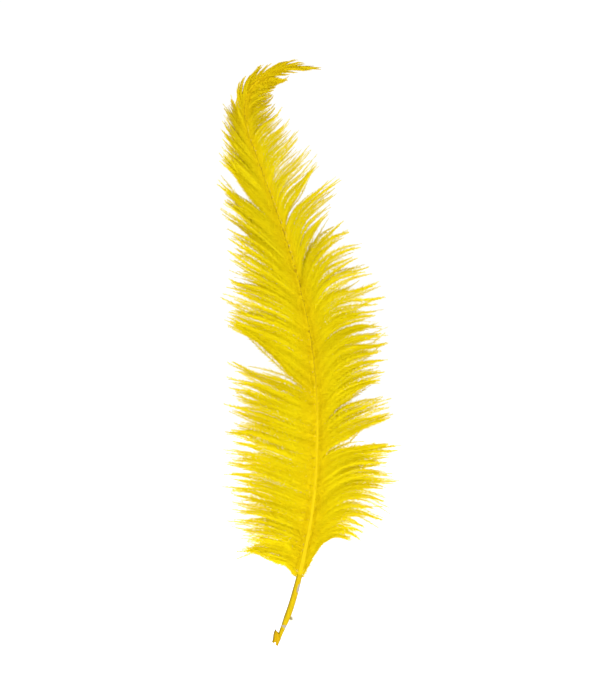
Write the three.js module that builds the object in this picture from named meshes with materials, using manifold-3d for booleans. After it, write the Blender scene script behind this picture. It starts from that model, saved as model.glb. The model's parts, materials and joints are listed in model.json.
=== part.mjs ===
// A dyed ostrich plume: a hollow quill, a pith-filled shaft that tapers and curls over at
// the top, and two vanes of soft barbs that hang together in locks. Millimetres, +Z up.
// The quill's cut end is at the origin, the vanes spread along X, and the plume's face
// looks along -Y.

import * as THREE from "three";
import { mergeVertices } from "three/addons/utils/BufferGeometryUtils.js";
import Module from "manifold-3d";

// ---- Driving dimensions ----

const PLUME_HEIGHT = 470; // cut end to the highest lock
const PLUME_WIDTH = 147; // outermost lock on one side to outermost lock on the other
const VANE_DROOP = 20; // how far behind the shaft the lock tips fall
const LOCK_THICKNESS = 1.7; // depth of one lock of barbs at its thickest
const LOCK_ROOT_THICKNESS = 1.0;
const LOCK_TIP_THICKNESS = 0.7;
const LOCK_TIP_WIDTH = 1.2;
const LOCK_GAP = 0.9; // between two locks, edge to edge
const FLEX_LOCK_GAP = 2; // added to that gap where the shaft flexes between two locks
const QUILL_RADIUS = 2.6;
const QUILL_END_RADIUS = 1.7; // the quill narrows again towards its cut end
const QUILL_WALL = 0.5;
const SHAFT_FOOT_RADIUS = 2.1; // where the vanes begin
const SHAFT_TIP_RADIUS = 0.25;
const SHAFT_TAPER_POWER = 1.3;
const SMALLEST_HOLLOW_RADIUS = 1.0; // a thinner shaft is solid
const PULP_RADIUS = 0.4;
const PULP_CAP_THICKNESS = 0.6;
const PULP_CAP_COUNT = 6;
const STUB_WALL = 0.5; // the torn stub of the sheath that the feather grew in
const STUB_LENGTH = 13;
const STUB_NOTCH_DEPTH = 5;
const STUB_NOTCH_WIDTH = 4;
const TUFT_RADIUS = 1.7; // the bit of down that clings to the quill
const CLEARANCE = 0.35; // between pieces that touch on the real feather
const JOINT_GAP = 0.7; // between two lengths of the shaft, where it flexes

// ---- Outline ----

// The outline below is drawn on a grid of one unit to the millimetre at this size.
const GRID = { width: 147, height: 470, shaft: 525 };

// The shaft's centre line: x, y, z.
const SHAFT_LINE = [
  [0, 0, 0], [12, -1, 31], [22, -3, 70], [30, -5, 115], [33, -6, 166], [31, -6, 221],
  [22, -5, 275], [5, -3, 333], [-12, 0, 381], [-25, 4, 423], [-20, 8, 448], [6, 12, 462],
  [38, 15, 463],
];

// Where the shaft's lengths meet, along the shaft.
const QUILL_START = 2;
const QUILL_END = 60;
const FLEX_AT = [150, 245, 335, 415];
const SHAFT_END = 520;

// Each lock: where its lowest barb leaves the shaft, along the shaft, its tip: x, z, and,
// where the lock stands apart from the one below it, how far back the notch between them
// reaches.
const LEFT_LOCKS = [
  [63, -24, 76], [82, -31, 106], [103, -34, 127], [120, -33, 145], [137, -34, 160],
  [150, -35, 174], [166, -35, 191], [183, -37, 216], [205, -34, 258, 0.7],
  [245, -37, 275], [256, -36, 290], [268, -35, 308], [285, -37, 334], [305, -42, 361],
  [335, -44, 387, 0.45], [360, -47, 404], [385, -42, 423], [415, -36, 437],
];
const LEFT_END = 430;
const RIGHT_LOCKS = [
  [63, 58, 87], [76, 75, 101, 0.35], [92, 88, 120], [112, 92, 140], [131, 94, 157],
  [150, 89, 180, 0.55], [163, 88, 197, 0.35], [176, 84, 214, 0.45], [195, 85, 237],
  [218, 82, 260], [245, 77, 283], [258, 68, 305], [274, 56, 334, 0.25],
  [292, 46, 355, 0.45], [312, 44, 371], [335, 34, 387, 0.5], [362, 18, 402],
  [388, 8, 422], [415, -2, 436], [436, 3, 449], [458, 14, 455],
];
const RIGHT_END = 480;

// On the curl the last barbs lie along the shaft, as a narrow band on each side of it:
// distance along the shaft and width.
const CREST_OUTER = [
  [431, 0.8], [437, 2.5], [445, 5], [455, 7], [490, 6.5], [505, 4.5], [523, 1],
];
const CREST_INNER = [[482, 1], [492, 3], [500, 4.5], [510, 3.5], [523, 1]];

// Angle between the barbs and the shaft where they leave it, from the vane's foot to the
// top, in degrees. The two vanes differ because the plume leans.
const LEFT_LEAVING = [76, 82, 30, 16, 24];
const RIGHT_LEAVING = [26, 42, 26, 20, 30];

// How far back towards the shaft the notch between two locks reaches, as a share of the
// lock's length, and how much of the lock's course lies below that notch.
const NOTCH_SHARE = 0.16;
const BODY_SHARE = 0.72;
const BEND_SHARE = 0.5;
const LAST_WIDE_SHARE = 0.95;

// ---- Fineness of the mesh ----

const SHAFT_SIDES = 10;
const SHAFT_STEP = 7; // millimetres between two rings
const LOCK_SIDES = 6;
const LOCK_STATIONS = 9;
const CREST_STATIONS = 16;

const wasm = await Module();
wasm.setup();

// ---- The shaft's line and girth ----

const widthScale = PLUME_WIDTH / GRID.width;
const heightScale = PLUME_HEIGHT / GRID.height;

function gridPoint(x, y, z) {
  return new THREE.Vector3(x * widthScale, y, z * heightScale);
}

const shaftCurve = new THREE.CatmullRomCurve3(SHAFT_LINE.map((p) => gridPoint(...p)));
shaftCurve.arcLengthDivisions = 2000;
const shaftLength = shaftCurve.getLength();

// One point of the shaft with the directions along it, across the vane and through it.
function shaftFrame(at) {
  const share = THREE.MathUtils.clamp(at / GRID.shaft, 0, 1);
  const point = shaftCurve.getPointAt(share);
  const along = shaftCurve.getTangentAt(share);
  const across = new THREE.Vector3(0, 1, 0).cross(along).normalize();
  const through = new THREE.Vector3().crossVectors(across, along);
  return { point, along, across, through };
}

// The units of the drawn shaft that one real millimetre takes up.
const unitsPerMillimetre = GRID.shaft / shaftLength;

function smoothStep(low, high, value) {
  return THREE.MathUtils.smoothstep(value, low, high);
}

const stubEnd = STUB_LENGTH * unitsPerMillimetre;
const quillFull = stubEnd + 8;

function shaftRadius(at) {
  if (at < quillFull) {
    const swell = smoothStep(stubEnd, quillFull, at);
    return THREE.MathUtils.lerp(QUILL_END_RADIUS, QUILL_RADIUS, swell);
  }
  if (at < QUILL_END) {
    return THREE.MathUtils.mapLinear(at, quillFull, QUILL_END, QUILL_RADIUS, SHAFT_FOOT_RADIUS);
  }
  const left = (GRID.shaft - at) / (GRID.shaft - QUILL_END);
  const taper = Math.pow(Math.max(left, 0), SHAFT_TAPER_POWER);
  return SHAFT_TIP_RADIUS + (SHAFT_FOOT_RADIUS - SHAFT_TIP_RADIUS) * taper;
}

// ---- Shape helpers ----

// A closed geometry with its shared corners merged, so that only positions are left.
function mergedGeometry(geometry) {
  geometry.deleteAttribute("normal");
  geometry.deleteAttribute("uv");
  geometry.clearGroups();
  return mergeVertices(geometry);
}

// Every vertex goes where place(x, y, z) puts it.
function bent(geometry, place) {
  const merged = mergedGeometry(geometry);
  const position = merged.getAttribute("position");
  for (let i = 0; i < position.count; i += 1) {
    const moved = place(position.getX(i), position.getY(i), position.getZ(i));
    position.setXYZ(i, moved.x, moved.y, moved.z);
  }
  merged.computeVertexNormals();
  return merged;
}

// A vertex of an upright piece whose axis is Y, laid along the shaft's line: its height
// becomes the distance along the shaft.
function alongShaft(x, y, z) {
  const { point, across, through } = shaftFrame(y);
  return point.addScaledVector(across, x).addScaledVector(through, z);
}

function stepsBetween(from, to) {
  const step = SHAFT_STEP * unitsPerMillimetre;
  const count = Math.max(2, Math.round((to - from) / step));
  return Array.from({ length: count + 1 }, (_, i) => THREE.MathUtils.lerp(from, to, i / count));
}

// A round body turned from a profile of [radius, distance along the shaft] pairs.
function turned(profile) {
  const points = profile.map(([radius, at]) => new THREE.Vector2(radius, at));
  return bent(new THREE.LatheGeometry(points, SHAFT_SIDES), alongShaft);
}

// A tube open at both ends, or a rod where the shaft is too thin to be hollow.
function shaftLengthGeometry(from, to, radiusAt, wall, hollow) {
  const steps = stepsBetween(from, to);
  const outside = steps.map((at) => [radiusAt(at), at]);
  if (!hollow) {
    return turned([[0, from], ...outside, [0, to]]);
  }
  const inside = steps.map((at) => [radiusAt(at) - wall, at]).reverse();
  return turned([...outside, ...inside, outside[0]]);
}

// ---- Materials ----

const dyedShaft = { color: 0xe8bc12, roughness: 0.35, metalness: 0 };
const dyedBarbs = { color: 0xe6cf1e, roughness: 0.8, metalness: 0 };
const bareQuill = { color: 0xe6dfb4, roughness: 0.4, metalness: 0 };
const pith = { color: 0xf0e9cf, roughness: 0.9, metalness: 0 };
const down = { color: 0xcfc48a, roughness: 0.95, metalness: 0 };

const plume = new THREE.Group();

function addPiece(name, geometry, finish) {
  const mesh = new THREE.Mesh(geometry, new THREE.MeshStandardMaterial(finish));
  mesh.name = name;
  plume.add(mesh);
}

// ---- Quill ----

const halfJointGap = (JOINT_GAP / 2) * unitsPerMillimetre;
const halfClearance = (CLEARANCE / 2) * unitsPerMillimetre;

const quillTo = QUILL_END - halfClearance;
const quillTube = shaftLengthGeometry(QUILL_START, quillTo, shaftRadius, QUILL_WALL, true);
addPiece("calamus_tube", quillTube, bareQuill);

// The dried pulp inside the quill: a thread with a row of thin caps on it.
function pulpProfile() {
  const from = QUILL_START + CLEARANCE;
  const to = quillTo - CLEARANCE;
  const profile = [[0, from], [PULP_RADIUS, from]];
  const spacing = (to - quillFull) / PULP_CAP_COUNT;
  for (let i = 0; i < PULP_CAP_COUNT; i += 1) {
    const foot = quillFull + spacing * (i + 0.5);
    const rim = shaftRadius(foot + PULP_CAP_THICKNESS) - QUILL_WALL - CLEARANCE;
    profile.push([PULP_RADIUS, foot], [rim, foot]);
    profile.push([rim, foot + PULP_CAP_THICKNESS], [PULP_RADIUS, foot + PULP_CAP_THICKNESS]);
  }
  profile.push([PULP_RADIUS, to], [0, to]);
  return profile;
}
addPiece("pulp_caps", turned(pulpProfile()), pith);

// ---- Torn stub of the sheath, around the quill's cut end ----

const stubRadius = QUILL_END_RADIUS + CLEARANCE + STUB_WALL;
const stubTop = stubEnd - CLEARANCE;

function toManifold(geometry) {
  const merged = mergedGeometry(geometry.clone());
  const vertProperties = new Float32Array(merged.getAttribute("position").array);
  const triVerts = new Uint32Array(merged.getIndex().array);
  return new wasm.Manifold(new wasm.Mesh({ numProp: 3, vertProperties, triVerts }));
}

function fromManifold(solid) {
  const mesh = solid.getMesh();
  const geometry = new THREE.BufferGeometry();
  geometry.setAttribute("position", new THREE.BufferAttribute(mesh.vertProperties, 3));
  geometry.setIndex(new THREE.BufferAttribute(mesh.triVerts, 1));
  geometry.computeVertexNormals();
  return geometry;
}

// A V torn upwards through the front and the back of the stub's lower rim.
function stubNotch() {
  const half = STUB_NOTCH_WIDTH / 2;
  const outline = new THREE.Shape([
    new THREE.Vector2(-half, -half),
    new THREE.Vector2(half, -half),
    new THREE.Vector2(0, STUB_NOTCH_DEPTH),
  ]);
  const depth = stubRadius * 4;
  const wedge = new THREE.ExtrudeGeometry(outline, { depth, bevelEnabled: false });
  wedge.translate(0, 0, -depth / 2);
  const { point, along, across, through } = shaftFrame(0);
  const frame = new THREE.Matrix4().makeBasis(across, along, through);
  frame.setPosition(point);
  return wedge.applyMatrix4(frame);
}

const stubTube = shaftLengthGeometry(0, stubTop, () => stubRadius, STUB_WALL, true);
const stub = toManifold(stubTube).subtract(toManifold(stubNotch()));
addPiece("sheath_stub", fromManifold(stub), dyedShaft);

// ---- Bit of down that clings to the quill's right side ----

const tuftAt = (stubEnd + quillFull) / 2;
const tuftFrame = shaftFrame(tuftAt);
const tuftOut = shaftRadius(tuftAt) + CLEARANCE + TUFT_RADIUS;
const tuft = mergedGeometry(new THREE.IcosahedronGeometry(TUFT_RADIUS, 1));
const tuftCentre = tuftFrame.point.clone().addScaledVector(tuftFrame.across, tuftOut);
tuft.translate(tuftCentre.x, tuftCentre.y, tuftCentre.z);
addPiece("down_bit", tuft, down);

// ---- Shaft above the quill, in lengths that flex against each other ----

const shaftEnds = [QUILL_END, ...FLEX_AT, SHAFT_END];
for (let i = 0; i < shaftEnds.length - 1; i += 1) {
  const number = i + 1;
  const from = shaftEnds[i] + (i === 0 ? halfClearance : halfJointGap);
  const to = shaftEnds[i + 1] - halfJointGap;
  const hollow = shaftRadius(to) > SMALLEST_HOLLOW_RADIUS;
  const cortex = shaftLengthGeometry(from, to, shaftRadius, QUILL_WALL, hollow);
  addPiece(`shaft_cortex_${number}`, cortex, dyedShaft);
  if (hollow) {
    const coreRadius = (at) => shaftRadius(at) - QUILL_WALL - CLEARANCE;
    const core = shaftLengthGeometry(from, to, coreRadius, 0, false);
    addPiece(`shaft_pith_${number}`, core, pith);
  }
}

// ---- Locks of barbs ----

// The value at a distance along the shaft, from values spread evenly over the vane.
function spreadValue(values, at) {
  const share = (at - QUILL_END) / (RIGHT_END - QUILL_END);
  const place = THREE.MathUtils.clamp(share, 0, 1) * (values.length - 1);
  const low = Math.min(Math.floor(place), values.length - 2);
  return THREE.MathUtils.lerp(values[low], values[low + 1], place - low);
}

// The point on the shaft's side that a lock's edge starts from.
function rootPoint(at, side) {
  const { point, across } = shaftFrame(at);
  return point.addScaledVector(across, side * (shaftRadius(at) + CLEARANCE));
}

function tipPoint([at, x, z], number) {
  const droop = VANE_DROOP * (0.8 + 0.2 * Math.cos(number * 2.4));
  const tip = gridPoint(x, 0, z);
  tip.y = shaftFrame(at).point.y + droop;
  return tip;
}

// The seam between two locks: it leaves the shaft at the barbs' angle and bends over to
// the notch between the two tips.
function seamCurve(at, side, leaving, end) {
  const start = rootPoint(at, side);
  const { along, across } = shaftFrame(at);
  const angle = THREE.MathUtils.degToRad(spreadValue(leaving, at));
  const reach = start.distanceTo(end) * BEND_SHARE;
  const control = start.clone();
  control.addScaledVector(along, reach * Math.cos(angle));
  control.addScaledVector(across, side * reach * Math.sin(angle));
  return new THREE.QuadraticBezierCurve3(start, control, end);
}

// One edge of a lock: the seam as far as the notch, then straight to the tip.
function edgePoint(seam, tip, share) {
  if (share <= BODY_SHARE) {
    return seam.getPoint(share / BODY_SHARE);
  }
  const past = (share - BODY_SHARE) / (1 - BODY_SHARE);
  return seam.getPoint(1).lerp(tip, past);
}

// A rod of unit size along Y with a corner at each side of its section, for flat pieces.
function flatRod(stations) {
  return new THREE.CylinderGeometry(1, 1, 1, LOCK_SIDES, stations, false, Math.PI / 2);
}

// Where the shaft bulges past the straight line between a lock's two root points, the
// root is moved out by this much to clear it.
function rootLift(fromAt, toAt, side) {
  const middle = rootPoint((fromAt + toAt) / 2, side);
  const chord = rootPoint(fromAt, side).lerp(rootPoint(toAt, side), 0.5);
  const bulge = middle.sub(chord);
  const outward = shaftFrame((fromAt + toAt) / 2).across.multiplyScalar(side);
  return bulge.dot(outward) > 0 ? bulge : new THREE.Vector3();
}

// The direction from a lock's lower edge to its upper one. The edges meet at the tip, so
// there it is the direction just before the tip.
function widthDirection(lowSeam, highSeam, tip, share) {
  const near = Math.min(share, LAST_WIDE_SHARE);
  const low = edgePoint(lowSeam, tip, near);
  return edgePoint(highSeam, tip, near).sub(low).normalize();
}

// A lock that starts at a flex of the shaft has its lower edge moved up by flexGap.
function lockGeometry(lowSeam, highSeam, tip, side, lift, flexGap) {
  return bent(flatRod(LOCK_STATIONS), (x, y, z) => {
    const share = y + 0.5;
    const low = edgePoint(lowSeam, tip, share);
    const high = edgePoint(highSeam, tip, share);
    const middle = low.clone().add(high).multiplyScalar(0.5);
    middle.addScaledVector(lift, (1 - share) * (1 - share));
    const room = low.distanceTo(high) - LOCK_GAP - flexGap;
    const width = Math.max(room, LOCK_TIP_WIDTH);
    const outward = widthDirection(lowSeam, highSeam, tip, share);
    const grown = smoothStep(0, 0.3, share);
    const thinned = smoothStep(0.5, 1, share);
    const full = THREE.MathUtils.lerp(LOCK_ROOT_THICKNESS, LOCK_THICKNESS, grown);
    const thickness = THREE.MathUtils.lerp(full, LOCK_TIP_THICKNESS, thinned);
    middle.addScaledVector(outward, (x * width + flexGap) / 2);
    middle.y += (side * z * thickness) / 2;
    return middle;
  });
}

// The notch between two tips, drawn back towards the root of the seam below it.
function notchPoint(lowTip, highTip, root, depth = NOTCH_SHARE) {
  return lowTip.clone().lerp(highTip, 0.5).lerp(root, depth);
}

// The outermost edges of a vane have no neighbour, so they end near their own lock's tip.
function outerNotch(tip, root) {
  return tip.clone().lerp(root, NOTCH_SHARE);
}

function addVane(label, side, locks, end, leaving) {
  const tips = locks.map((lock, i) => tipPoint(lock, i));
  const roots = [...locks.map(([at]) => at), end];
  const seams = roots.map((at, i) => {
    const root = rootPoint(at, side);
    const below = tips[i - 1];
    const above = tips[i];
    const depth = locks[i]?.[3];
    const shared = below && above;
    const between = shared && notchPoint(below, above, root, depth);
    const notch = between || outerNotch(below ?? above, root);
    return seamCurve(at, side, leaving, notch);
  });
  locks.forEach((lock, i) => {
    const name = `${label}_lock_${String(i + 1).padStart(2, "0")}`;
    const lift = rootLift(roots[i], roots[i + 1], side);
    const flexGap = FLEX_AT.includes(lock[0]) ? FLEX_LOCK_GAP : 0;
    const geometry = lockGeometry(seams[i], seams[i + 1], tips[i], side, lift, flexGap);
    addPiece(name, geometry, dyedBarbs);
  });
}

addVane("left", -1, LEFT_LOCKS, LEFT_END, LEFT_LEAVING);
addVane("right", 1, RIGHT_LOCKS, RIGHT_END, RIGHT_LEAVING);

// ---- Bands of short barbs along the curl ----

function crestWidth(widths, at) {
  const next = widths.findIndex(([end]) => end >= at);
  const [highAt, high] = widths[Math.max(next, 1)];
  const [lowAt, low] = widths[Math.max(next, 1) - 1];
  return THREE.MathUtils.mapLinear(at, lowAt, highAt, low, high);
}

function crestGeometry(widths, side) {
  const from = widths[0][0];
  const to = widths[widths.length - 1][0];
  return bent(flatRod(CREST_STATIONS), (x, y, z) => {
    const at = THREE.MathUtils.lerp(from, to, y + 0.5);
    const width = crestWidth(widths, at);
    const { across, through } = shaftFrame(at);
    const middle = rootPoint(at, side).addScaledVector(across, (side * width) / 2);
    middle.addScaledVector(across, (x * width) / 2);
    middle.addScaledVector(through, (z * LOCK_ROOT_THICKNESS) / 2);
    return middle;
  });
}
addPiece("crest_outer", crestGeometry(CREST_OUTER, -1), dyedBarbs);
addPiece("crest_inner", crestGeometry(CREST_INNER, 1), dyedBarbs);

export default plume;
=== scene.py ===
# Looks of the dyed ostrich plume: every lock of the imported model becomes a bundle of
# separate barbs with their barbules, and the shaft and quill become smooth horn.

import json
import math

import bpy
import numpy as np
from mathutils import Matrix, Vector

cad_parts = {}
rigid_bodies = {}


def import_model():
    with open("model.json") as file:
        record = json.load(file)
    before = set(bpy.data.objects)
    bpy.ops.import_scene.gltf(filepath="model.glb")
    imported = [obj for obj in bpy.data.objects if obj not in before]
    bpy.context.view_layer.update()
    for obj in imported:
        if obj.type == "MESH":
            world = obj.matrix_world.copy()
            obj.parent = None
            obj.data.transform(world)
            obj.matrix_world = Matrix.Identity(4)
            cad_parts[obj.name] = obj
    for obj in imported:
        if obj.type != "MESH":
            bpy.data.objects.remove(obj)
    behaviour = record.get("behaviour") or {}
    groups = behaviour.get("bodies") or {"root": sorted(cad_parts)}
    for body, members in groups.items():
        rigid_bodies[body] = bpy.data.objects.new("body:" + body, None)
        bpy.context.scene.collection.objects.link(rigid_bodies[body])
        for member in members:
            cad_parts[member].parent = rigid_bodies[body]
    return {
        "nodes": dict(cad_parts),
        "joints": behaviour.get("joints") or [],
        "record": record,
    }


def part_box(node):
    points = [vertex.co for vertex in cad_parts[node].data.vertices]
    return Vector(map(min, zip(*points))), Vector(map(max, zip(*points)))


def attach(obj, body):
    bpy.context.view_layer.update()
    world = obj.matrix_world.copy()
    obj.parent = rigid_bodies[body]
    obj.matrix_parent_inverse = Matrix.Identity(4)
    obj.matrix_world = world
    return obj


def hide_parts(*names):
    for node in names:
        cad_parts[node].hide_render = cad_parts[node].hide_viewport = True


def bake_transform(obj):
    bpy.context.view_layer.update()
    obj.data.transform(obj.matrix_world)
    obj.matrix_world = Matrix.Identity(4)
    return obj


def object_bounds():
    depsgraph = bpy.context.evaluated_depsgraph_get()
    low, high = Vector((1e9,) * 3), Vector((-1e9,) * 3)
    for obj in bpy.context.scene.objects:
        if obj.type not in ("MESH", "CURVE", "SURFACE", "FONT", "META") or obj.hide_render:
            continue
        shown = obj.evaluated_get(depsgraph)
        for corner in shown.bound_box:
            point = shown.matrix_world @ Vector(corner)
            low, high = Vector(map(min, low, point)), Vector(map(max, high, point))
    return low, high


for leftover in list(bpy.data.objects):
    bpy.data.objects.remove(leftover)

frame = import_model()
cad_low, cad_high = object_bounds()

MM = 0.001
UP = np.array([0.0, 0.0, 1.0])
BACK = np.array([0.0, 1.0, 0.0])
LEFT, RIGHT = -1.0, 1.0  # of the shaft, seen from the front
JOINT_AT = {j["name"]: np.array(j["pos_m"]) for j in frame["joints"]}
JOINT_ORDER = ["lower_flex", "middle_flex", "upper_flex", "tip_flex"]


# ---------------- reading the frame

SAME_DIGITS = 6  # corners that agree to this many decimals are one corner
ROD_CORNERS = 6  # around the section of a lock's solid
RING_CORNERS = 10  # the fewest that a ring of a shaft solid has
SEED_REACH = 4 * MM  # from the middle of a shaft solid's end to its first ring
LINE_STEP = 1 * MM  # between the points kept of the shaft's centre line
NEVER_ZERO = 1e-12


class Solid:
    """A CAD node's mesh with its shared corners merged."""

    def __init__(self, node):
        mesh = frame["nodes"][node].data
        count = len(mesh.vertices)
        flat = np.empty(count * 3)
        mesh.vertices.foreach_get("co", flat)
        points = flat.reshape(-1, 3)
        _, first, same = np.unique(
            np.round(points, SAME_DIGITS), axis=0, return_index=True, return_inverse=True
        )
        self.points = points[first]
        same = same.reshape(-1)
        self.near = [set() for _ in first]
        for a, b in mesh.edge_keys:
            a, b = same[a], same[b]
            if a != b:
                self.near[a].add(b)
                self.near[b].add(a)

    def levels(self, seeds):
        """Rings of corners, each one edge further from the seeds."""
        found = set(seeds)
        level = list(seeds)
        levels = []
        while level:
            levels.append(level)
            level = sorted({b for a in level for b in self.near[a]} - found)
            found.update(level)
        return levels

    def cap_centres(self):
        """The middle corners of the two flat ends of a rod with a six-cornered section."""
        flatness = []
        for i, near in enumerate(self.near):
            if len(near) == ROD_CORNERS:
                spokes = self.points[sorted(near)] - self.points[i]
                flatness.append((np.linalg.svd(spokes, compute_uv=False)[2], i))
        return [i for _, i in sorted(flatness)[:2]]

    def within(self, point, radius):
        far = np.linalg.norm(self.points - point, axis=1)
        return list(np.flatnonzero(far < radius))


def shaft_rings(node, start):
    """Centre and radius of each ring of a shaft solid, from the end nearest start."""
    solid = Solid(node)
    rings = []
    for level in solid.levels(solid.within(start, SEED_REACH)):
        ring = solid.points[level]
        if len(ring) >= RING_CORNERS:
            centre = ring.mean(0)
            rings.append((centre, np.linalg.norm(ring - centre, axis=1).max()))
    return rings


def read_shaft():
    """The rings of the quill and of the shaft's five lengths, from the cut end up."""
    lower = shaft_rings("shaft_cortex_1", JOINT_AT["lower_flex"])[::-1]
    quill = shaft_rings("calamus_tube", lower[0][0])[::-1]
    rings = quill + lower
    for number, joint in enumerate(JOINT_ORDER):
        rings += shaft_rings(f"shaft_cortex_{number + 2}", JOINT_AT[joint])
    centres = np.array([c for c, _ in rings])
    radii = np.array([r for _, r in rings])
    return centres, radii


def along(points):
    """Distance along a line of points."""
    steps = np.linalg.norm(np.diff(points, axis=0), axis=1)
    return np.concatenate([[0.0], np.cumsum(steps)])


def smooth_line(points, at, wanted):
    """Points at the wanted distances on a smooth curve through the given points."""
    slope = np.gradient(points, at, axis=0)
    i = np.clip(np.searchsorted(at, wanted, side="right") - 1, 0, len(at) - 2)
    width = (at[i + 1] - at[i])[:, None]
    t = ((wanted - at[i]) / (at[i + 1] - at[i]))[:, None]
    a, b = points[i], points[i + 1]
    sa, sb = slope[i] * width, slope[i + 1] * width
    t2, t3 = t * t, t * t * t
    return (
        (2 * t3 - 3 * t2 + 1) * a
        + (t3 - 2 * t2 + t) * sa
        + (3 * t2 - 2 * t3) * b
        + (t3 - t2) * sb
    )


def unit(v):
    return v / np.maximum(np.linalg.norm(v, axis=-1, keepdims=True), NEVER_ZERO)


ring_centres, ring_radii = read_shaft()
ring_at = along(ring_centres)
SHAFT_LENGTH = ring_at[-1]
line_at = np.arange(0.0, SHAFT_LENGTH, LINE_STEP)
line_points = smooth_line(ring_centres, ring_at, line_at)
line_radii = np.interp(line_at, ring_at, ring_radii)
line_along = unit(np.gradient(line_points, axis=0))
line_across = unit(np.cross(BACK, line_along))


def shaft_at(at):
    """Point, radius, direction along and direction across the vane, at a distance."""

    def read(table):
        return np.stack([np.interp(at, line_at, table[:, k]) for k in range(3)], axis=-1)

    radius = np.interp(at, line_at, line_radii)
    return read(line_points), radius, unit(read(line_along)), unit(read(line_across))


def nearest_on_shaft(point):
    return line_at[np.argmin(np.linalg.norm(line_points - point, axis=1))]


def rod_edges(node):
    """The low and the high edge of a flat rod with a six-cornered section, as lines of
    points, from the end that is nearer the shaft."""
    solid = Solid(node)
    seed = min(solid.cap_centres(), key=lambda i: far_from_shaft(solid.points[i]))
    direction = UP
    low, high = [], []
    for level in solid.levels([seed]):
        if len(level) == ROD_CORNERS:
            ring = solid.points[level]
            reach = ring @ direction
            low.append(ring[reach.argmin()])
            high.append(ring[reach.argmax()])
            direction = unit(high[-1] - low[-1])
    return np.array(low), np.array(high)


def far_from_shaft(point):
    return np.linalg.norm(line_points - point, axis=1).min()


BODY_OF = {n: b for b, nodes in frame["record"]["behaviour"]["bodies"].items() for n in nodes}


# ---------------- materials

BLACK, WHITE = (0, 0, 0, 1), (1, 1, 1, 1)
CLOUD_SHARE = 0.35  # of the uneven dye in the barbs' colour
TINT_SHARE = 0.8  # how strongly a barb's own tint counts
# The barbs' darker roots are painted shade where they crowd at the shaft.
ROOT_RUN, ROOT_SHARE = 0.25, 0.35  # how far out the barbs' roots are darker, and how much
STREAK_STRETCH = 0.08  # of the horn's streaks along the shaft
COAT_SHARE = 0.4  # of the streak colour where the horn's coat is thick
FLAKE_SHARE = 0.5  # how ragged the bare patches' outlines are
ROUGH_SPREAD, ROUGH_LEAST = 0.25, 0.25
SCRATCH_DEPTH = 0.2 * MM
MIX_INPUTS, MIX_OUTPUT = (0, 6, 7), 2  # factor and two colours, of a node that mixes colours


def linear(red, green, blue):
    """Linear colour of an 8-bit screen colour, by the sRGB curve."""
    parts = []
    for c in (red, green, blue):
        c /= 255
        parts.append(c / 12.92 if c <= 0.04045 else ((c + 0.055) / 1.055) ** 2.4)
    return (*parts, 1.0)


def new_material(name):
    material = bpy.data.materials.new(name)
    material.use_nodes = True
    tree = material.node_tree
    shader = tree.nodes["Principled BSDF"]
    return material, tree, shader


def new_node(tree, kind, **settings):
    made = tree.nodes.new(kind)
    for key, value in settings.items():
        setattr(made, key, value)
    return made


def attribute(tree, name):
    return new_node(tree, "ShaderNodeAttribute", attribute_name=name).outputs["Fac"]


def rest_position(tree):
    return new_node(tree, "ShaderNodeTexCoord").outputs["Object"]


def ramp(tree, factor, *stops):
    made = new_node(tree, "ShaderNodeValToRGB")
    elements = made.color_ramp.elements
    while len(elements) < len(stops):
        elements.new(1.0)
    for element, (place, colour) in zip(elements, stops):
        element.position = place
        element.color = colour
    tree.links.new(factor, made.inputs["Fac"])
    return made.outputs["Color"]


def feed(tree, values, sockets):
    """Links each value to its socket, or sets the socket to it if it's a plain value."""
    for value, socket in zip(values, sockets):
        if isinstance(value, bpy.types.NodeSocket):
            tree.links.new(value, socket)
        else:
            socket.default_value = value


def mix(tree, factor, a, b, blend="MIX"):
    made = new_node(tree, "ShaderNodeMix", data_type="RGBA", blend_type=blend)
    feed(tree, (factor, a, b), [made.inputs[number] for number in MIX_INPUTS])
    return made.outputs[MIX_OUTPUT]


def calculate(tree, operation, *values):
    made = new_node(tree, "ShaderNodeMath", operation=operation)
    feed(tree, values, made.inputs)
    return made.outputs[0]


def noise(tree, vector, scale, detail=2.0):
    made = new_node(tree, "ShaderNodeTexNoise")
    made.inputs["Scale"].default_value = scale
    made.inputs["Detail"].default_value = detail
    tree.links.new(vector, made.inputs["Vector"])
    return made.outputs["Fac"]


def height_share(tree):
    """From 0 at the quill's cut end to 1 at the top of the curl."""
    split = new_node(tree, "ShaderNodeSeparateXYZ")
    tree.links.new(rest_position(tree), split.inputs[0])
    return calculate(tree, "DIVIDE", split.outputs["Z"], float(cad_high[2]))


LOW_DYE = linear(252, 229, 0)
MIDDLE_DYE = linear(241, 221, 0)
HIGH_DYE = linear(234, 213, 4)
CURL_DYE = linear(221, 190, 2)
THIN_DYE = linear(252, 236, 6)
THICK_DYE = linear(228, 202, 0)
# painted shade at the barbs' roots
ROOT_SHADE = linear(232, 190, 0)
GREY_TINT = linear(222, 218, 190)
BARE_HORN = linear(178, 166, 152)


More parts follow.
